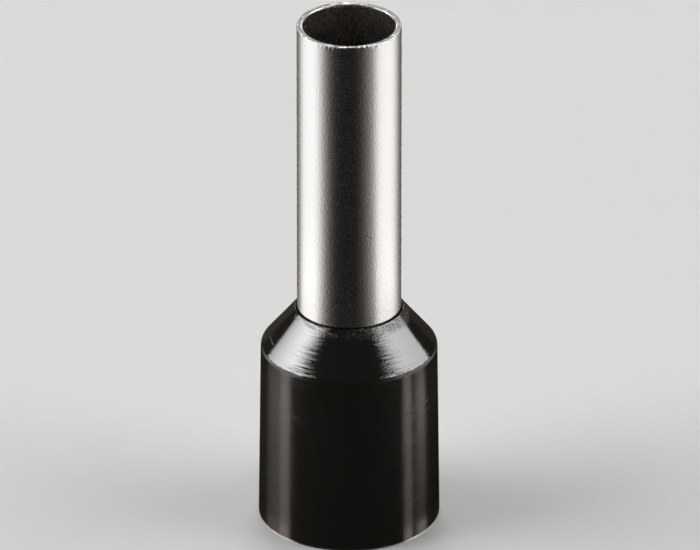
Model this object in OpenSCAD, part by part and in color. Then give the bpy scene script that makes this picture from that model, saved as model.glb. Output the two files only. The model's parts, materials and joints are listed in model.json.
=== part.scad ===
// Insulated wire ferrule: a tinned metal sleeve whose inner end is flared, held in a moulded collar.
// It stands on the mouth of the collar. The origin is the centre of that mouth, and +Z runs to the tip.
// Both pieces are turned bodies, so each is drawn as a half section of radius and height.

/* [Sleeve] */
// Bore of the sleeve, which the bare strands of the wire fill
sleeve_bore_d = 3.4; // [3:0.1:4.2]
// Thickness of the sleeve's metal
sleeve_wall = 0.22; // [0.15:0.01:0.3]
// Length of sleeve that stands clear of the collar
sleeve_free_len = 11.5; // [8:0.5:18]
// Radius of the bend where the sleeve opens into its flare, on the outside of the metal
flare_bend_r = 0.5; // [0.3:0.05:0.7]
// Gap between the rim of the flare and the bore of the skirt
flare_rim_gap = 0.1; // [0.05:0.01:0.2]
// Radius on the cut edges of the sleeve
sleeve_edge_r = 0.05; // [0.02:0.01:0.07]

/* [Collar] */
// Length of the collar, from its mouth to its lip
collar_len = 8.5; // [6:0.5:12]
// Bore of the skirt, which takes the wire's insulation
skirt_bore_d = 6.1; // [5.6:0.1:7]
// Thickness of the skirt at its mouth
skirt_wall = 0.3; // [0.25:0.01:0.5]
// Draft on the outside of the skirt, in degrees
skirt_draft = 0.75; // [0:0.05:1]
// Angle of the shoulder's slope from the axis, in degrees
shoulder_angle = 39; // [30:1:45]
// Thickness of the shoulder, square to its slope
shoulder_wall = 0.35; // [0.3:0.01:0.5]
// Radius on the edge between the shoulder and the skirt
shoulder_edge_r = 0.25; // [0.1:0.05:0.5]

/* [Collar edges] */
// Thickness of the lip, where the shoulder ends at the sleeve
lip_wall = 0.08; // [0.06:0.01:0.15]
// Gap between the lip and the sleeve
lip_gap = 0.04; // [0.01:0.01:0.05]
// Depth to which the lip's gap closes on the sleeve
lip_gap_depth = 0.15; // [0.05:0.01:0.2]
// Radius on the outer edge of the mouth
mouth_edge_r = 0.1; // [0.05:0.01:0.15]
// Width and height of the lead-in chamfer inside the mouth
lead_in = 0.12; // [0.05:0.01:0.15]
// Radius in the corner between the seat of the flare and the bore of the skirt
seat_corner_r = 0.12; // [0.05:0.01:0.15]

/* [Hidden] */
// Largest step along a rounded corner of a section, in degrees
arc_step = 6;
// Facets of a full turn
turn_facets = 96;

sleeve_bore_r = sleeve_bore_d / 2;
sleeve_r = sleeve_bore_r + sleeve_wall;
skirt_bore_r = skirt_bore_d / 2;
mouth_r = skirt_bore_r + skirt_wall;
tip_z = collar_len + sleeve_free_len;
lip_r = sleeve_r + lip_wall;

// The skirt narrows from the mouth by its draft, and the shoulder slopes from the lip to meet it.
draft_slope = tan(skirt_draft);
shoulder_slope = tan(shoulder_angle);
shoulder_z = (lip_r + collar_len * shoulder_slope - mouth_r) / (shoulder_slope - draft_slope);
shoulder_r = mouth_r - shoulder_z * draft_slope;

// The flare lies under the shoulder, square to it by the shoulder's thickness.
across_slope = [cos(shoulder_angle), sin(shoulder_angle)];
flare_z = collar_len + (lip_wall * across_slope.x - shoulder_wall) / across_slope.y;
flare_rim_r = skirt_bore_r - flare_rim_gap;

// Height of the flare's outer flank at a radius, which is also the seat in the collar
function flank_z(r) = flare_z - (r - sleeve_r) / shoulder_slope;

function unit(v) = v / norm(v);

// Points of an arc that rounds the corner p between its neighbours a and b
function corner_arc(a, p, b, r) =
    let (
        to_a = unit(a - p),
        to_b = unit(b - p),
        half = acos(to_a * to_b) / 2,
        centre = p + unit(to_a + to_b) * r / sin(half),
        first = p + to_a * r / tan(half) - centre,
        start = atan2(first.y, first.x),
        sweep = (180 - 2 * half) * sign(cross(to_b, to_a)),
        steps = ceil(abs(sweep) / arc_step)
    )
    [for (i = [0:steps]) centre + r * [cos(start + sweep * i / steps), sin(start + sweep * i / steps)]];

// Outline through corners given as [radius, height, rounding], with each rounding an arc
function rounded(corners) =
    let (n = len(corners), at = [for (c = corners) [c.x, c.y]])
    [
        for (i = [0:n - 1])
            each corners[i].z > 0
                ? corner_arc(at[(i + n - 1) % n], at[i], at[(i + 1) % n], corners[i].z)
                : [at[i]]
    ];

module turned(corners) {
    rotate_extrude($fn = turn_facets)
        polygon(rounded(corners));
}

// Sleeve of one piece of metal, straight from its tip and opening into a trumpet inside the collar
module metal_sleeve() {
    rim = [flare_rim_r, flank_z(flare_rim_r)];
    inner_rim = rim - sleeve_wall * across_slope;
    inner_flare_z = flare_z - sleeve_wall * tan(shoulder_angle / 2);
    color("silver")
        turned([
            [sleeve_bore_r, tip_z, sleeve_edge_r],
            [sleeve_bore_r, inner_flare_z, flare_bend_r + sleeve_wall],
            [inner_rim.x, inner_rim.y, sleeve_edge_r],
            [rim.x, rim.y, sleeve_edge_r],
            [sleeve_r, flare_z, flare_bend_r],
            [sleeve_r, tip_z, sleeve_edge_r],
        ]);
}

// Collar moulded as one piece: a skirt for the insulation, a sloping shoulder and the seat of the flare
module insulating_collar() {
    color([0.11, 0.105, 0.1])
        turned([
            [skirt_bore_r, lead_in, 0],
            [skirt_bore_r + lead_in, 0, 0],
            [mouth_r, 0, mouth_edge_r],
            [shoulder_r, shoulder_z, shoulder_edge_r],
            [lip_r, collar_len, 0],
            [sleeve_r + lip_gap, collar_len, 0],
            [sleeve_r, collar_len - lip_gap_depth, 0],
            [sleeve_r, flare_z, flare_bend_r],
            [skirt_bore_r, flank_z(skirt_bore_r), seat_corner_r],
        ]);
}

metal_sleeve();
insulating_collar();
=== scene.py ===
# Looks of a wire ferrule that stands on its collar: a tinned sleeve in a moulded black collar.
# Both pieces are turned from the same half sections as the solids, with finer rings and real wear.
import json
import math

import bpy
import numpy as np
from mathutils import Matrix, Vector, noise


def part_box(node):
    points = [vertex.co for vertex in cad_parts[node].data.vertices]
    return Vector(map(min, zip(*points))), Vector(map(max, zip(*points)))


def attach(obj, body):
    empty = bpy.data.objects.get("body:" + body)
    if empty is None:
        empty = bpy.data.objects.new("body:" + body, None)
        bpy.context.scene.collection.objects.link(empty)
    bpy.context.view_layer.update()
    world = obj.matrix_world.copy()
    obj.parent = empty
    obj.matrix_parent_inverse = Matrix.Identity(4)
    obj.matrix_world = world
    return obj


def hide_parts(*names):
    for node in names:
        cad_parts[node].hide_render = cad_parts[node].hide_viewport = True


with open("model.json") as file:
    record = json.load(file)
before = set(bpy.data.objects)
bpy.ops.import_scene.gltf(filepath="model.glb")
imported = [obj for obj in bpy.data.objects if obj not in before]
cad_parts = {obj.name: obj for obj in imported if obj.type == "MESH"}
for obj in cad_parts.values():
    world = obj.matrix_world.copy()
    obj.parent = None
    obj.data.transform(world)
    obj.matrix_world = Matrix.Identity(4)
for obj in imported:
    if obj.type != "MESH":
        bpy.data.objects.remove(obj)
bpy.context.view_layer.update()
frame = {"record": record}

MM = 0.001

# Sizes of the solids in millimetres, with the bores and the sleeve's outside read from the mounts
mount_r = {mount["name"]: mount["dims"].get("r_mm") for mount in frame["record"]["mounts"]}
SLEEVE_BORE_R = mount_r["crimp_bore"]
SLEEVE_R = mount_r["sleeve_outside"]
SKIRT_BORE_R = mount_r["insulation_bore"]
TIP_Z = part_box("metal_sleeve")[1].z / MM
COLLAR_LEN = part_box("insulating_collar")[1].z / MM
SLEEVE_EDGE_R = 0.05
FLARE_BEND_R = 0.5
FLARE_RIM_GAP = 0.1
SKIRT_WALL = 0.3
SKIRT_DRAFT = math.radians(0.75)
SHOULDER_ANGLE = math.radians(39)
SHOULDER_WALL = 0.35
SHOULDER_EDGE_R = 0.25
LIP_WALL = 0.08
LIP_GAP = 0.04
LIP_GAP_DEPTH = 0.15
MOUTH_EDGE_R = 0.1
LEAD_IN = 0.12
SEAT_CORNER_R = 0.12

# Sizes that follow from these, in the same way as in the source of the solids
SLEEVE_WALL = SLEEVE_R - SLEEVE_BORE_R
MOUTH_R = SKIRT_BORE_R + SKIRT_WALL
LIP_R = SLEEVE_R + LIP_WALL
SHOULDER_SLOPE = math.tan(SHOULDER_ANGLE)
DRAFT_SLOPE = math.tan(SKIRT_DRAFT)
SHOULDER_Z = (LIP_R + COLLAR_LEN * SHOULDER_SLOPE - MOUTH_R) / (SHOULDER_SLOPE - DRAFT_SLOPE)
SHOULDER_R = MOUTH_R - SHOULDER_Z * DRAFT_SLOPE
ACROSS_SLOPE = np.array([math.cos(SHOULDER_ANGLE), math.sin(SHOULDER_ANGLE)])
FLARE_Z = COLLAR_LEN + (LIP_WALL * ACROSS_SLOPE[0] - SHOULDER_WALL) / ACROSS_SLOPE[1]
FLARE_RIM_R = SKIRT_BORE_R - FLARE_RIM_GAP

# Wear in millimetres, which the solids don't have
TIP_WEAR_R = 0.08        # rounding of the inner corner of the sleeve's tip
LIP_EDGE_R = 0.03        # rounding of the lip's outer corner
LIP_WEAR = 0.022         # width by which the gap at the lip is worn open
SHOULDER_SAG = 0.01      # depth to which the shoulder sinks, a third of the way down from the lip
SAG_PEAK = 4 / 27        # largest value of the curve that the sag follows
WALL_WAVE = 0.0006       # waves of the sleeve's wall
BURR_OUT = 0.006         # coarse burrs at the sleeve's tip, outwards and upwards
BURR_UP = 0.008
GRIT = 0.008             # fine burrs at the sleeve's tip
GRIT_PATCH_OUT = 0.012   # height that patches add to the fine burrs, outwards and upwards
GRIT_PATCH_UP = 0.014
TURNED_LINES = 0.0009    # turned lines on the shoulder
LIP_PITS = 0.002         # pits on the shoulder below the lip
LIP_TEAR = 0.003         # torn edge of the lip
SKIRT_WAVE = 0.0012      # waves of the skirt's wall
MOUTH_FLASH = 0.014      # ragged flash on the outer edge of the mouth

# Steps of the turned bodies: round the axis, and along a rounded corner
SEGMENTS = 640
ARC_STEP = math.radians(9)

# Bands of finer rings, in millimetres from the tip, the mouth and the shoulder's edge
TIP_BAND = 0.4
MOUTH_BAND = 0.3
SHOULDER_BAND = 0.2

# Faces that meet at a larger angle than this keep a sharp edge between them
SHARP_ANGLE = math.radians(50)

# Radius in the middle of the shoulder, at which its turned lines have their wavelengths
SHOULDER_MID_R = 2.6

# Distance that each seed moves the noise, in wavelengths, in the relief and in the materials
RELIEF_SEED_SHIFT = (7.3, -3.1, 11.7)
MATERIAL_SEED_SHIFT = (3.7, 1.9, 5.3)


# Sections

def flank_z(radius):
    """Height of the flare's outer flank, which is also the collar's seat."""
    return FLARE_Z - (radius - SLEEVE_R) / SHOULDER_SLOPE


def unit(vector):
    return vector / np.linalg.norm(vector)


def corner_arc(before, corner, after, radius):
    """Points of the arc that rounds a corner of a section, or the corner itself without a radius."""
    if radius == 0:
        return [corner]
    to_before = unit(before - corner)
    to_after = unit(after - corner)
    half = math.acos(to_before @ to_after) / 2
    centre = corner + unit(to_before + to_after) * radius / math.sin(half)
    first = corner + to_before * radius / math.tan(half) - centre
    start = math.atan2(first[1], first[0])
    turn = to_after[0] * to_before[1] - to_after[1] * to_before[0]
    sweep = math.copysign(math.pi - 2 * half, turn)
    steps = math.ceil(abs(sweep) / ARC_STEP)
    angles = [start + sweep * i / steps for i in range(steps + 1)]
    return [centre + radius * np.array([math.cos(a), math.sin(a)]) for a in angles]


def stepped(start, end, step):
    """Points strictly between start and end, evenly spaced by step or a little less."""
    count = math.ceil(np.linalg.norm(end - start) / step)
    return [start + (end - start) * i / count for i in range(1, count)]


def section(corners):
    """Points of a closed outline, and the relief that each of them has.

    Its corners are given as (radius, height, rounding, step, relief), where the step and the relief
    hold from that corner to the next.
    """
    places = [np.array(corner[:2]) for corner in corners]
    arcs = []
    for i, (_, _, rounding, _, _) in enumerate(corners):
        arcs.append(corner_arc(places[i - 1], places[i], places[(i + 1) % len(places)], rounding))
    points = []
    reliefs = []
    for i, (_, _, _, step, relief) in enumerate(corners):
        edge = arcs[i] + stepped(arcs[i][-1], arcs[(i + 1) % len(arcs)][0], step)
        points += edge
        reliefs += [relief] * len(edge)
    return np.array(points), reliefs


# Meshes

def add_object(name, data):
    made = bpy.data.objects.new(name, data)
    bpy.context.scene.collection.objects.link(made)
    return made


def add_mesh(name, points, faces):
    """A mesh in the scene, from points in metres."""
    mesh = bpy.data.meshes.new(name)
    mesh.from_pydata([tuple(point) for point in points], [], faces)
    return add_object(name, mesh)


def full_turn(segments):
    """Angles of a full turn, from the front."""
    return np.arange(segments) * 2 * math.pi / segments


def round_axis(radius, height, angle):
    """Points in metres at a radius and height in millimetres and an angle from the front."""
    x, y, z = np.broadcast_arrays(radius * np.sin(angle), -radius * np.cos(angle), height)
    return (np.stack([x, y, z], axis=-1).reshape(-1, 3) * MM).tolist()


def ring_faces(rings, segments, closed):
    """Faces from each ring of points to the next, and from the last to the first if closed."""
    faces = []
    for ring in range(rings if closed else rings - 1):
        here = ring * segments
        there = (ring + 1) % rings * segments
        for i in range(segments):
            j = (i + 1) % segments
            faces.append((here + i, here + j, there + j, there + i))
    return faces


def turned(name, corners):
    """A closed body turned from the section with these corners, with its relief added."""
    points, reliefs = section(corners)
    radius, height, angle = np.broadcast_arrays(points[:, :1], points[:, 1:], full_turn(SEGMENTS))
    out = np.zeros(radius.shape)
    up = np.zeros(radius.shape)
    for ring, relief in enumerate(reliefs):
        if relief:
            out[ring], up[ring] = relief(radius[ring], height[ring], angle[ring])
    faces = ring_faces(len(points), SEGMENTS, closed=True)
    piece = add_mesh(name, round_axis(radius + out, height + up, angle), faces)
    piece.data.validate()
    piece.data.shade_smooth()
    piece.data.set_sharp_from_angle(angle=SHARP_ANGLE)
    return piece


# Relief: each function gives the millimetres that a ring of points moves outwards and upwards

def ring_noise(radius, height, angle, around, along, seed):
    """Noise from -1 to 1, with its wavelengths around and along the axis in millimetres."""
    waves = (radius * np.cos(angle) / around, radius * np.sin(angle) / around, height / along)
    shifted = [wave + seed * shift for wave, shift in zip(waves, RELIEF_SEED_SHIFT)]
    return np.array([noise.noise(place) for place in zip(*np.broadcast_arrays(*shifted))])


def fade(value, low, high):
    """0 below low and 1 above high, with a smooth change between them."""
    share = np.clip((value - low) / (high - low), 0, 1)
    return share * share * (3 - 2 * share)


def sleeve_relief(radius, height, angle):
    """Burrs and saw marks at the cut tip, on a wall that waves by less than a micron."""
    coarse = ring_noise(radius, height, angle, around=0.25, along=0.5, seed=1)
    fine = ring_noise(radius, height, angle, around=0.07, along=0.15, seed=2)
    patch = fade(ring_noise(radius, 0, angle, around=0.8, along=1, seed=0), 0, 0.35)
    wave = ring_noise(radius, height, angle, around=1.2, along=4, seed=3)
    tip = fade(height, TIP_Z - 0.2, TIP_Z)
    face = fade(height, TIP_Z - 0.05, TIP_Z - 0.01)
    out = tip * (BURR_OUT * coarse + (GRIT + GRIT_PATCH_OUT * patch) * fine) + WALL_WAVE * wave
    up = face * (BURR_UP * coarse + (GRIT + GRIT_PATCH_UP * patch) * fine)
    return out, up


def shoulder_relief(radius, height, angle):
    """Turned lines and a sag, with pits instead of the lines below the lip."""
    lines = ring_noise(SHOULDER_MID_R, height, angle, around=3, along=0.06, seed=4)
    finer = ring_noise(SHOULDER_MID_R, height, angle, around=1.2, along=0.09, seed=5)
    pits = ring_noise(radius, height, angle, around=0.06, along=0.06, seed=6)
    near_lip = fade(height, COLLAR_LEN - 0.35, COLLAR_LEN - 0.05)
    down = np.clip((COLLAR_LEN - height) / (COLLAR_LEN - SHOULDER_Z), 0, 1)
    sag = SHOULDER_SAG * down * (1 - down) ** 2 / SAG_PEAK
    raised = TURNED_LINES * (lines + 0.6 * finer) * (1 - near_lip) + LIP_PITS * pits * near_lip - sag
    return raised * ACROSS_SLOPE[0], raised * ACROSS_SLOPE[1]


def skirt_relief(radius, height, angle):
    """Waves of the wall, and ragged flash on the outer edge of the mouth."""
    wave = ring_noise(radius, height, angle, around=0.7, along=5, seed=7)
    ragged = ring_noise(radius, height, angle, around=0.12, along=1, seed=8)
    edge = fade(-height, -0.12, -0.02)
    return SKIRT_WAVE * wave + MOUTH_FLASH * edge * ragged, 0


def lip_relief(radius, height, angle):
    """A torn edge, which is more torn in patches."""
    torn = ring_noise(radius, height, angle, around=0.08, along=0.3, seed=9)
    patch = fade(ring_noise(radius, 0, angle, around=1, along=1, seed=12), 0, 0.4)
    raised = LIP_TEAR * torn * (0.5 + patch)
    return raised, raised


# Pieces

def make_sleeve():
    """The metal sleeve: its corners run down the bore, round the flare and up the wall."""
    rim = np.array([FLARE_RIM_R, flank_z(FLARE_RIM_R)])
    inner_rim = rim - SLEEVE_WALL * ACROSS_SLOPE
    inner_flare_z = FLARE_Z - SLEEVE_WALL * math.tan(SHOULDER_ANGLE / 2)
    corners = [
        (SLEEVE_BORE_R, TIP_Z, TIP_WEAR_R, 0.04),
        (SLEEVE_BORE_R, TIP_Z - TIP_BAND, 0, 0.8),
        (SLEEVE_BORE_R, inner_flare_z, FLARE_BEND_R + SLEEVE_WALL, 0.3),
        (*inner_rim, SLEEVE_EDGE_R, 0.1),
        (*rim, SLEEVE_EDGE_R, 0.3),
        (SLEEVE_R, FLARE_Z, FLARE_BEND_R, 0.5),
        (SLEEVE_R, TIP_Z - TIP_BAND, 0, 0.04),
        (SLEEVE_R, TIP_Z, SLEEVE_EDGE_R, 0.03),
    ]
    return turned("plated_sleeve", [(*corner, sleeve_relief) for corner in corners])


def make_collar():
    """The moulded collar: its corners run round the mouth, up the outside and down the inside."""
    return turned("moulded_collar", [
        (SKIRT_BORE_R, LEAD_IN, 0, 0.06, None),
        (SKIRT_BORE_R + LEAD_IN, 0, 0, 0.1, None),
        (MOUTH_R, 0, MOUTH_EDGE_R, 0.03, skirt_relief),
        (MOUTH_R - MOUTH_BAND * DRAFT_SLOPE, MOUTH_BAND, 0, 0.3, skirt_relief),
        (SHOULDER_R + SHOULDER_BAND * DRAFT_SLOPE, SHOULDER_Z - SHOULDER_BAND, 0, 0.06, skirt_relief),
        (SHOULDER_R, SHOULDER_Z, SHOULDER_EDGE_R, 0.04, shoulder_relief),
        (LIP_R, COLLAR_LEN, LIP_EDGE_R, 0.03, lip_relief),
        (SLEEVE_R + LIP_GAP + LIP_WEAR, COLLAR_LEN, 0, 0.05, lip_relief),
        (SLEEVE_R, COLLAR_LEN - LIP_GAP_DEPTH, 0, 0.1, None),
        (SLEEVE_R, FLARE_Z, FLARE_BEND_R, 0.3, None),
        (SKIRT_BORE_R, flank_z(SKIRT_BORE_R), SEAT_CORNER_R, 0.8, None),
    ])


def dress(piece, node, material):
    """Lets a piece stand for a solid, with the finish that it is given."""
    piece.data.materials.append(material)
    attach(piece, "root")
    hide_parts(node)


# Materials

class Nodes:
    """Short ways to build one material's node tree."""

    def __init__(self, name):
        self.material = bpy.data.materials.new(name)
        self.material.use_nodes = True
        self.tree = self.material.node_tree
        self.shader = self.tree.nodes["Principled BSDF"]

    def add(self, kind, **settings):
        made = self.tree.nodes.new(kind)
        for key, value in settings.items():
            setattr(made, key, value)
        return made

    def feed(self, socket, value):
        """Links a node's output to a socket, or sets a plain value on it."""
        if isinstance(value, bpy.types.NodeSocket):
            self.tree.links.new(value, socket)
        else:
            socket.default_value = value

    def shade(self, **inputs):
        """Feeds the shader's inputs, with _ for each space in their names."""
        for name, value in inputs.items():
            self.feed(self.shader.inputs[name.replace("_", " ")], value)

    def glow(self, colour=(1, 1, 1, 1), strength=1.0):
        """Lets the surface glow, and leaves the shader out."""
        made = self.add("ShaderNodeEmission")
        self.feed(made.inputs["Color"], colour)
        self.feed(made.inputs["Strength"], strength)
        self.feed(self.tree.nodes["Material Output"].inputs["Surface"], made.outputs[0])

    def maths(self, operation, *values):
        made = self.add("ShaderNodeMath", operation=operation)
        for socket, value in zip(made.inputs, values):
            self.feed(socket, value)
        return made.outputs[0]

    def product(self, first, second):
        return self.maths("MULTIPLY", first, second)

    def added(self, share, amount, value):
        """Value with a share of an amount added."""
        return self.maths("MULTIPLY_ADD", share, amount, value)

    def apart(self, first, second):
        """Distance between two values."""
        return self.maths("ABSOLUTE", self.maths("SUBTRACT", first, second))

    def scaled(self, value, low, high, to_low, to_high):
        """Maps value from one range to another, and holds it at the ends."""
        made = self.add("ShaderNodeMapRange")
        for socket, number in zip(made.inputs, (value, low, high, to_low, to_high)):
            self.feed(socket, number)
        return made.outputs[0]

    def rise(self, value, low, high):
        """0 up to low, and 1 from high."""
        return self.scaled(value, low, high, 0.0, 1.0)

    def fall(self, value, low, high):
        """1 up to low, and 0 from high."""
        return self.scaled(value, low, high, 1.0, 0.0)

    def mixed(self, share, first, second):
        made = self.add("ShaderNodeMix", data_type="RGBA")
        self.feed(made.inputs["Factor"], share)
        self.feed(made.inputs["A"], first)
        self.feed(made.inputs["B"], second)
        return made.outputs["Result"]

    def ramp(self, value, stops):
        """Colour that runs through stops given as (position, colour)."""
        made = self.add("ShaderNodeValToRGB")
        self.feed(made.inputs[0], value)
        elements = made.color_ramp.elements
        while len(elements) < len(stops):
            elements.new(0.5)
        for element, (position, colour) in zip(elements, stops):
            element.position = position
            element.color = colour
        return made.outputs["Color"]

    def split(self, vector):
        made = self.add("ShaderNodeSeparateXYZ")
        self.feed(made.inputs[0], vector)
        return made.outputs

    def place(self):
        """Position on the piece in millimetres."""
        made = self.add("ShaderNodeVectorMath", operation="SCALE")
        self.feed(made.inputs[0], self.add("ShaderNodeTexCoord").outputs["Object"])
        made.inputs["Scale"].default_value = 1 / MM
        return made.outputs[0]

    def from_axis(self, x, y):
        """Distance from the axis."""
        return self.maths("SQRT", self.maths("MULTIPLY_ADD", x, x, self.product(y, y)))

    def skin(self, place, typical_radius):
        """Position on a turned skin, its radius and its height.

        The position runs round the axis in x and y, and along the section in z. Its distances round
        the axis are those at the typical radius.
        """
        x, y, height = self.split(place)
        radius = self.from_axis(x, y)
        made = self.add("ShaderNodeCombineXYZ")
        self.feed(made.inputs[0], self.product(self.maths("DIVIDE", x, radius), typical_radius))
        self.feed(made.inputs[1], self.product(self.maths("DIVIDE", y, radius), typical_radius))
        self.feed(made.inputs[2], self.maths("SUBTRACT", height, radius))
        return made.outputs[0], radius, height

    def noise(self, place, around, along, seed, detail=1.0):
        """Noise from 0 to 1, with its wavelengths around the axis and along the section."""
        stretched = self.add("ShaderNodeMapping")
        self.feed(stretched.inputs["Vector"], place)
        stretched.inputs["Scale"].default_value = (1 / around, 1 / around, 1 / along)
        stretched.inputs["Location"].default_value = [seed * shift for shift in MATERIAL_SEED_SHIFT]
        made = self.add("ShaderNodeTexNoise")
        self.feed(made.inputs["Vector"], stretched.outputs[0])
        made.inputs["Scale"].default_value = 1
        made.inputs["Detail"].default_value = detail
        return made.outputs["Fac"]

    def scratches(self, place, marks, width):
        """1 on fine scratches given as (degrees, height, degrees, height), and 0 elsewhere."""
        x, y, height = self.split(place)
        turn = self.maths("DEGREES", self.maths("ARCTAN2", x, self.product(y, -1.0)))
        total = 0.0
        for start, low, end, high in marks:
            share = self.rise(turn, start, end)
            line = self.added(share, high - low, low)
            inside = self.rise(self.maths("PINGPONG", share, 0.5), 0.0, 0.1)
            total = self.added(self.fall(self.apart(height, line), 0.0, width), inside, total)
        return total

    def bumps(self, *layers):
        """Normal of layers of bumps given as (height from 0 to 1, microns), the lowest first."""
        normal = None
        for height, microns in layers:
            made = self.add("ShaderNodeBump")
            made.inputs["Distance"].default_value = microns * 1e-6
            made.inputs["Strength"].default_value = 1
            self.feed(made.inputs["Height"], height)
            if normal is not None:
                self.feed(made.inputs["Normal"], normal)
            normal = made.outputs[0]
        return normal


# Colours of the tin's clouds, of the painted shade in the sleeve's bore, and of the painted shadow line
# where the sleeve enters the lip
TIN_DARK = (0.88, 0.875, 0.865, 1)
TIN_LIGHT = (0.94, 0.935, 0.925, 1)
# Painted shade: the bore's colour is darker and browner than the tin outside
BORE_SHADE_COLOUR = (0.6, 0.56, 0.52, 1)
LIP_SHADOW_COLOUR = (0.03, 0.03, 0.03, 1)
LIP_SHADOW_SHARE = 0.85

PLASTIC_COLOUR = (0.0095, 0.009, 0.0068, 1)
PLASTIC_IOR = 1.55

# Scratches, each from an angle and height to another angle and height, and their widths
SLEEVE_SCRATCHES = [(15, 14.1, 28, 13.8), (15, 12.3, 26, 12.1)]
SLEEVE_SCRATCH_WIDTH = 0.035
COLLAR_SCRATCHES = [
    (37, 5.27, 64, 5.38), (44, 4.03, 60, 4.1), (46, 1.58, 59, 1.7),
    (-66, 2.33, -47, 2.1), (-60, 1.2, -44, 1.12), (-85, 7.37, -71, 7.33),
]
COLLAR_SCRATCH_WIDTH = 0.04


def tin_colour(nodes, skin, radius, height):
    """Faint clouds outside, painted shade that darkens the bore, and a painted shadow line at the lip."""
    # Painted shade: the bore is coloured darker and browner, standing in for the shade inside the tube
    inside = nodes.product(
        nodes.fall(radius, SLEEVE_BORE_R + 0.02, SLEEVE_BORE_R + 0.06),
        nodes.fall(height, TIP_Z - 0.1, TIP_Z - 0.04),
    )
    # Painted shadow: a dark line on the sleeve just above the lip, standing in for the shade of the gap
    lip_shadow = nodes.scaled(nodes.apart(height, COLLAR_LEN), 0.03, 0.07, LIP_SHADOW_SHARE, 0.0)
    colour = nodes.mixed(nodes.noise(skin, around=0.9, along=2.5, seed=1, detail=2), TIN_DARK, TIN_LIGHT)
    colour = nodes.mixed(inside, colour, BORE_SHADE_COLOUR)
    return nodes.mixed(lip_shadow, colour, LIP_SHADOW_COLOUR)


def tin_plating():
    """Satin tin: nearly white metal, with fine grain drawn along the tube and a rough cut tip."""
    nodes = Nodes("tin_plating")
    place = nodes.place()
    skin, radius, height = nodes.skin(place, typical_radius=2.0)
    cut = nodes.rise(height, TIP_Z - 0.05, TIP_Z - 0.02)
    grain = nodes.noise(skin, around=0.055, along=0.12, seed=2)
    speck = nodes.noise(skin, around=0.05, along=0.07, seed=3)
    drawn = nodes.noise(skin, around=0.08, along=2, seed=4, detail=2)
    sawn = nodes.noise(skin, around=0.35, along=0.06, seed=8)
    scratched = nodes.scratches(place, SLEEVE_SCRATCHES, SLEEVE_SCRATCH_WIDTH)
    nodes.shade(
        Base_Color=tin_colour(nodes, skin, radius, height),
        Metallic=1,
        Roughness=nodes.added(cut, 0.03, nodes.scaled(speck, 0.5, 0.7, 0.257, 0.285)),
        Normal=nodes.bumps((drawn, 1.3), (grain, 3.8), (scratched, -4.0), (nodes.product(sawn, cut), 25.0)),
    )
    return nodes.material


def rub_marks(nodes, skin):
    """1 on fine rub marks, which lie in patches, and 0 elsewhere."""
    marks = nodes.noise(skin, around=0.35, along=0.06, seed=6)
    patches = nodes.noise(skin, around=0.8, along=0.8, seed=10)
    return nodes.product(nodes.rise(marks, 0.4, 0.7), nodes.rise(patches, 0.35, 0.65))


def pitted_patches(nodes, place, skin, height):
    """1 on patches below the lip, with more of them towards the right, and 0 elsewhere."""
    x, _, _ = nodes.split(place)
    patches = nodes.added(x, 0.12, nodes.noise(skin, around=0.8, along=0.4, seed=12))
    below_lip = nodes.rise(height, COLLAR_LEN - 0.42, COLLAR_LEN - 0.12)
    return nodes.product(below_lip, nodes.rise(patches, 0.36, 0.64))


def collar_roughness(nodes, on_shoulder, on_skirt, lines, rubbed, hairs):
    """Gloss that is duller on the lower skirt and on marks, and runs in lines on the shoulder."""
    wall = nodes.added(on_skirt, 0.045, 0.11)
    wall = nodes.added(rubbed, 0.03, wall)
    wall = nodes.added(hairs, 0.03, wall)
    shoulder = nodes.scaled(lines, 0.38, 0.62, 0.04, 0.13)
    return nodes.added(on_shoulder, nodes.maths("SUBTRACT", shoulder, wall), wall)


def collar_plastic():
    """Glossy black polypropylene, with fine marks on the skirt and turned lines on the shoulder.

    The shoulder has nicks on its edge and pits below the lip.
    """
    nodes = Nodes("collar_plastic")
    place = nodes.place()
    skin, _, height = nodes.skin(place, typical_radius=3.0)
    on_shoulder = nodes.rise(height, SHOULDER_Z - 0.1, SHOULDER_Z + 0.1)
    on_skirt = nodes.fall(height, SHOULDER_Z - 1.7, SHOULDER_Z - 0.7)
    on_edge = nodes.fall(nodes.apart(height, SHOULDER_Z), 0.05, 0.2)
    pitted = pitted_patches(nodes, place, skin, height)
    rubbed = rub_marks(nodes, skin)
    lines = nodes.noise(skin, around=2.5, along=0.035, seed=5, detail=2)
    hairs = nodes.rise(nodes.noise(skin, around=1.4, along=0.06, seed=11, detail=0), 0.72, 0.77)
    peel = nodes.noise(skin, around=0.22, along=0.14, seed=13, detail=2)
    nicks = nodes.noise(skin, around=0.15, along=0.07, seed=14)
    pits = nodes.rise(nodes.noise(skin, around=0.075, along=0.06, seed=9), 0.5, 0.64)
    grain = nodes.noise(skin, around=0.06, along=0.06, seed=7)
    scratched = nodes.scratches(place, COLLAR_SCRATCHES, COLLAR_SCRATCH_WIDTH)
    roughness = collar_roughness(nodes, on_shoulder, on_skirt, lines, rubbed, hairs)
    nodes.shade(
        Base_Color=PLASTIC_COLOUR,
        IOR=PLASTIC_IOR,
        Specular_IOR_Level=1.0,
        Roughness=nodes.added(scratched, 0.3, roughness),
        Normal=nodes.bumps(
            (nodes.product(lines, on_shoulder), 2.0),
            (nodes.product(rubbed, on_skirt), 2.0),
            (nodes.product(hairs, on_skirt), -1.2),
            (nodes.product(peel, on_skirt), 6.0),
            (nodes.product(nicks, on_edge), 8.0),
            (nodes.product(pits, pitted), -10.0),
            (grain, 1.5),
        ),
    )
    return nodes.material


# Camera, with its sizes in metres

VIEW_ELEVATION = math.radians(27.1)
VIEW_DISTANCE = 0.55
VIEW_WIDTH = 0.02575
VIEW_CENTRE = Vector((0.000033, 0, 0.009744))
SENSOR_MM = 36


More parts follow.
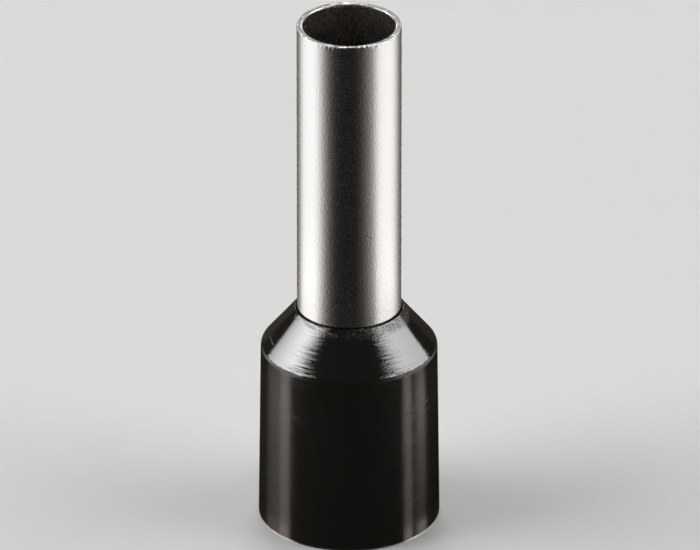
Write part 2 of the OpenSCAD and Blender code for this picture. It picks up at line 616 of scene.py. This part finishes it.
def make_camera():
    data = bpy.data.cameras.new("camera")
    data.sensor_width = SENSOR_MM
    data.lens = SENSOR_MM * VIEW_DISTANCE / VIEW_WIDTH
    data.clip_start = 0.01
    data.clip_end = 10
    camera = add_object("camera", data)
    direction = Vector((0, -math.cos(VIEW_ELEVATION), math.sin(VIEW_ELEVATION)))
    camera.location = VIEW_CENTRE + direction * VIEW_DISTANCE
    camera.rotation_euler = (math.pi / 2 - VIEW_ELEVATION, 0, 0)
    bpy.context.scene.camera = camera


# Lamps: diffuser panels whose corners are degrees round from the camera's side and degrees up

LAMP_DISTANCE = 0.6

# For each side panel: the side's sign, the degrees up of its top, the degrees round of its far end,
# its radiance, and the share of that at the corner furthest behind the object
SIDE_PANELS = {"left": (-1, 38.2, 126, 8.4, 0.2), "right": (1, 40.0, 123.5, 5.4, 0.6)}
FILL_SHARE = 0.2         # radiance of the fill below each side panel, as a share of the panel's
EDGE_RADIANCE = 2.6
BACK_RADIANCE = 0.3
TOP_RADIANCE = 4.5
WORLD_STRENGTH = 0.025


def towards(around, up):
    """Direction from the object, in degrees round from the camera's side and degrees up."""
    around = math.radians(around)
    up = math.radians(up)
    return Vector((math.cos(up) * math.sin(around), -math.cos(up) * math.cos(around), math.sin(up)))


def panel(name, corners, radiance, far_share=1.0):
    """A shaped panel that glows and faces the object.

    Its strength falls evenly to far_share at the corner that is furthest behind the object.
    """
    rays = [towards(around, up) for around, up in corners]
    middle = sum(rays, Vector()).normalized()
    places = [ray * LAMP_DISTANCE / ray.dot(middle) for ray in rays]
    card = add_mesh(name, places, [tuple(range(len(places)))])
    nodes = Nodes(name)
    _, y, _ = nodes.split(nodes.place())
    share = nodes.scaled(y, 0.0, max(place.y for place in places) / MM, 1.0, far_share)
    nodes.glow(strength=nodes.product(share, radiance))
    card.data.materials.append(nodes.material)
    card.visible_camera = False


def on_side(sign, corners):
    """Corners on the right for a sign of 1, and mirrored to the left for -1."""
    return [(sign * around, up) for around, up in corners]


def make_lamps():
    for side, (sign, top, end, radiance, far_share) in SIDE_PANELS.items():
        main = [(50, top), (84, top), (end, 24), (end, 3), (104, 10), (62, 27)]
        fill = [(62, 27), (104, 10), (end, 3), (62, 3)]
        back = [(150, 8), (150, 26), (165, 26), (165, 8)]
        panel(side + "_panel", on_side(sign, main), radiance, far_share)
        panel(side + "_fill", on_side(sign, fill), radiance * FILL_SHARE)
        panel(side + "_back", on_side(sign, back), EDGE_RADIANCE)
    panel("back_panel", [(165, 18), (165, 44), (195, 44), (195, 18)], BACK_RADIANCE)
    panel("top_panel", [(166, 50), (150, 80), (210, 80), (194, 50)], TOP_RADIANCE)


def make_world():
    world = bpy.data.worlds.new("world")
    world.use_nodes = True
    background = world.node_tree.nodes["Background"]
    background.inputs["Color"].default_value = (1, 1, 1, 1)
    background.inputs["Strength"].default_value = WORLD_STRENGTH
    bpy.context.scene.world = world


# Floor and horizon, with their sizes in millimetres

FLOOR_Z = -0.01
FLOOR_HOLE_R = 0.01
FLOOR_NEAR_R = 50.0
FLOOR_R = 900.0
FLOOR_RISE = 100.0
FLOOR_CURVE_STEPS = 12
FLOOR_FAR_START = 100.0
FLOOR_FAR_END = 320.0
FLOOR_COLOUR = (0.8, 0.8, 0.79, 1)
FAR_FLOOR_COLOUR = (0.58, 0.58, 0.575, 1)
FLOOR_GLOW = 0.5
RING_R = 700.0
RING_HEIGHT = 130.0
DARK = 0.012             # radiance of the ring, and of the cards where they show a dark studio
SHEET_SEGMENTS = 96


def turned_sheet(name, rows):
    """An open surface of the stage, turned from rows of (radius, height)."""
    radius, height = np.array(rows).T[:, :, None]
    points = round_axis(radius, height, full_turn(SHEET_SEGMENTS))
    sheet = add_mesh(name, points, ring_faces(len(rows), SHEET_SEGMENTS, closed=False))
    sheet.data.shade_smooth()
    return sheet


def make_floor():
    """A pale floor that curves up at its far edge, and glows a little where the lamps don't reach."""
    flat_r = FLOOR_R - FLOOR_RISE
    rows = [(FLOOR_HOLE_R, FLOOR_Z), (FLOOR_NEAR_R, FLOOR_Z), (flat_r, FLOOR_Z)]
    for i in range(1, FLOOR_CURVE_STEPS + 1):
        angle = math.pi / 2 * i / FLOOR_CURVE_STEPS
        rows.append((flat_r + FLOOR_RISE * math.sin(angle), FLOOR_RISE * (1 - math.cos(angle))))
    floor = turned_sheet("floor", rows)
    nodes = Nodes("floor")
    x, y, _ = nodes.split(nodes.place())
    far = nodes.rise(nodes.from_axis(x, y), FLOOR_FAR_START, FLOOR_FAR_END)
    nodes.shade(
        Base_Color=nodes.mixed(far, FLOOR_COLOUR, FAR_FLOOR_COLOUR),
        Emission_Color=FLOOR_COLOUR,
        Emission_Strength=nodes.product(far, FLOOR_GLOW),
        Roughness=0.9,
        Specular_IOR_Level=0.1,
    )
    floor.data.materials.append(nodes.material)


def only_for_gloss(card):
    """Leaves a card visible in glossy reflections alone."""
    card.visible_camera = False
    card.visible_diffuse = False
    card.visible_shadow = False
    card.visible_transmission = False
    card.visible_volume_scatter = False


def make_dark_ring():
    """A dark ring at the horizon, which only gloss sees, as the far side of a dark studio."""
    ring = turned_sheet("dark_ring", [(RING_R, 0.0), (RING_R, RING_HEIGHT)])
    nodes = Nodes("dark_ring")
    nodes.glow(strength=DARK)
    ring.data.materials.append(nodes.material)
    only_for_gloss(ring)


# Flags: cards just above the floor, which only gloss sees, with a grey for each angle round a wall

FLAG_STEPS = 180
FLAG_Z = -0.005
FLAG_INSET = 0.15        # how far inside the mouth the flag below it starts

# Where the rays of each flag start and end, in millimetres from the wall
MOUTH_REACH = (0.0, 0.25)
SKIRT_REACH = (0.13, 15.4)
SLEEVE_REACH = (15.6, 690.0)

# Warmth of each wall's greys where they are dark, and where they are bright
SLEEVE_TINT = (0.18, 0.01)
SKIRT_TINT = (0.12, 0.12)
BLUE_PER_WARMTH = 0.6

# Degrees round the wall from the front, and the radiance of the grey that the wall mirrors there
MOUTH_GREYS = [(-90, 0.6), (-80, 2.6), (-42, 2.6), (-34, DARK), (34, DARK), (42, 2.6), (80, 2.6), (90, 0.6)]
SKIRT_GREYS = [
    (-90, 0.02), (-68, 0.02), (-62, 0.24), (-54, 0.42), (-51, 0.5), (-49, 1.05), (-43.5, 1.05),
    (-40, 0.1), (-37, DARK), (36, DARK), (38.5, 0.7), (40, 0.95), (43.5, 0.95), (44.5, 0.2),
    (47, 0.2), (49, 0.5), (52, 0.75), (56, 0.75), (59.5, 0.1), (62, 0.02), (90, 0.02),
]
SLEEVE_GREYS = [
    (-90, 0.03), (-71, 0.15), (-62, 1.35), (-56, 1.53), (-42, 1.62), (-37, 1.42), (-30, 0.45),
    (-25, 0.13), (-18, 0.01), (-10, 0.003), (10, 0.003), (17, 0.07), (24, 0.26), (28, 0.38),
    (33, 1.42), (38, 1.5), (52, 1.56), (58, 1.35), (67, 0.38), (75, 0.07), (90, 0.03),
]

# The largest share of that light which is lost at each angle, and how much of it is lost along the rays
SKIRT_LOSS = [(-90, 0.4), (30, 0.4), (41, 0.5), (52, 0.8), (90, 0.8)]
SKIRT_LOSS_ALONG = [
    (0, 0), (0.05, 0.1), (0.09, 1), (0.2, 0.95), (0.32, 0.8), (0.43, 0.65), (0.53, 0.5), (0.7, 0),
    (0.82, 0.1), (0.9, 0.9),
]
SLEEVE_LOSS = [(-90, 0.333), (90, 0.333)]
SLEEVE_LOSS_ALONG = [(0, 0), (0.003, 0.3), (0.007, 0.75), (0.013, 1), (1, 1)]


def plain(grey):
    return (grey, grey, grey, 1)


def tinted(grey, tint):
    """Colour of a grey whose warmth runs from the first tint when dark to the second when bright."""
    warmth = tint[0] + (tint[1] - tint[0]) * min(grey, 1)
    return (grey * (1 + warmth), grey, grey * (1 - BLUE_PER_WARMTH * warmth), 1)


def turn_share(degrees):
    """Share of the half turn that a flag covers, from its left to its right."""
    return degrees / 180 + 0.5


def flag_mesh(name, radius, reach):
    """The card of a flag, whose rays run the way that a round wall mirrors the view at its foot.

    The UV map holds the share of the half turn round the wall, and the share along the ray.
    """
    near, far = reach
    points = []
    for i in range(FLAG_STEPS + 1):
        angle = math.pi * (i / FLAG_STEPS - 0.5)
        foot = Vector((math.sin(angle), -math.cos(angle), 0)) * radius
        ray = Vector((math.sin(2 * angle), -math.cos(2 * angle), 0))
        points += [foot + ray * near, foot + ray * far]
    faces = [(2 * i, 2 * i + 1, 2 * i + 3, 2 * i + 2) for i in range(FLAG_STEPS)]
    card = add_mesh(name, [(p.x * MM, p.y * MM, FLAG_Z * MM) for p in points], faces)
    turn = card.data.uv_layers.new(name="turn")
    for loop in card.data.loops:
        turn.data[loop.index].uv = (loop.vertex_index // 2 / FLAG_STEPS, loop.vertex_index % 2)
    return card


def flag(name, radius, reach, greys, tint, loss=None, loss_along=None):
    """Adds a flag that makes each of its greys an upright stripe on the wall of that radius."""
    nodes = Nodes(name)
    turn, along, _ = nodes.split(nodes.add("ShaderNodeTexCoord").outputs["UV"])
    colour = nodes.ramp(turn, [(turn_share(degrees), tinted(grey, tint)) for degrees, grey in greys])
    strength = 1.0
    if loss:
        depth = nodes.ramp(turn, [(turn_share(degrees), plain(lost)) for degrees, lost in loss])
        part_lost = nodes.ramp(along, [(share, plain(part)) for share, part in loss_along])
        strength = nodes.maths("SUBTRACT", 1.0, nodes.product(depth, part_lost))
    nodes.glow(colour, strength)
    card = flag_mesh(name, radius, reach)
    card.data.materials.append(nodes.material)
    only_for_gloss(card)


def make_flags():
    flag("mouth_flag", MOUTH_R - FLAG_INSET, MOUTH_REACH, MOUTH_GREYS, SKIRT_TINT)
    flag("skirt_flag", MOUTH_R, SKIRT_REACH, SKIRT_GREYS, SKIRT_TINT, SKIRT_LOSS, SKIRT_LOSS_ALONG)
    flag("sleeve_flag", SLEEVE_R, SLEEVE_REACH, SLEEVE_GREYS, SLEEVE_TINT, SLEEVE_LOSS, SLEEVE_LOSS_ALONG)


def make_stage():
    make_floor()
    make_flags()
    make_dark_ring()
    make_lamps()
    make_world()
    bpy.context.scene.view_settings.view_transform = "Standard"


make_camera()
make_stage()
dress(make_sleeve(), "metal_sleeve", tin_plating())
dress(make_collar(), "insulating_collar", collar_plastic())

bpy.context.view_layer.update()
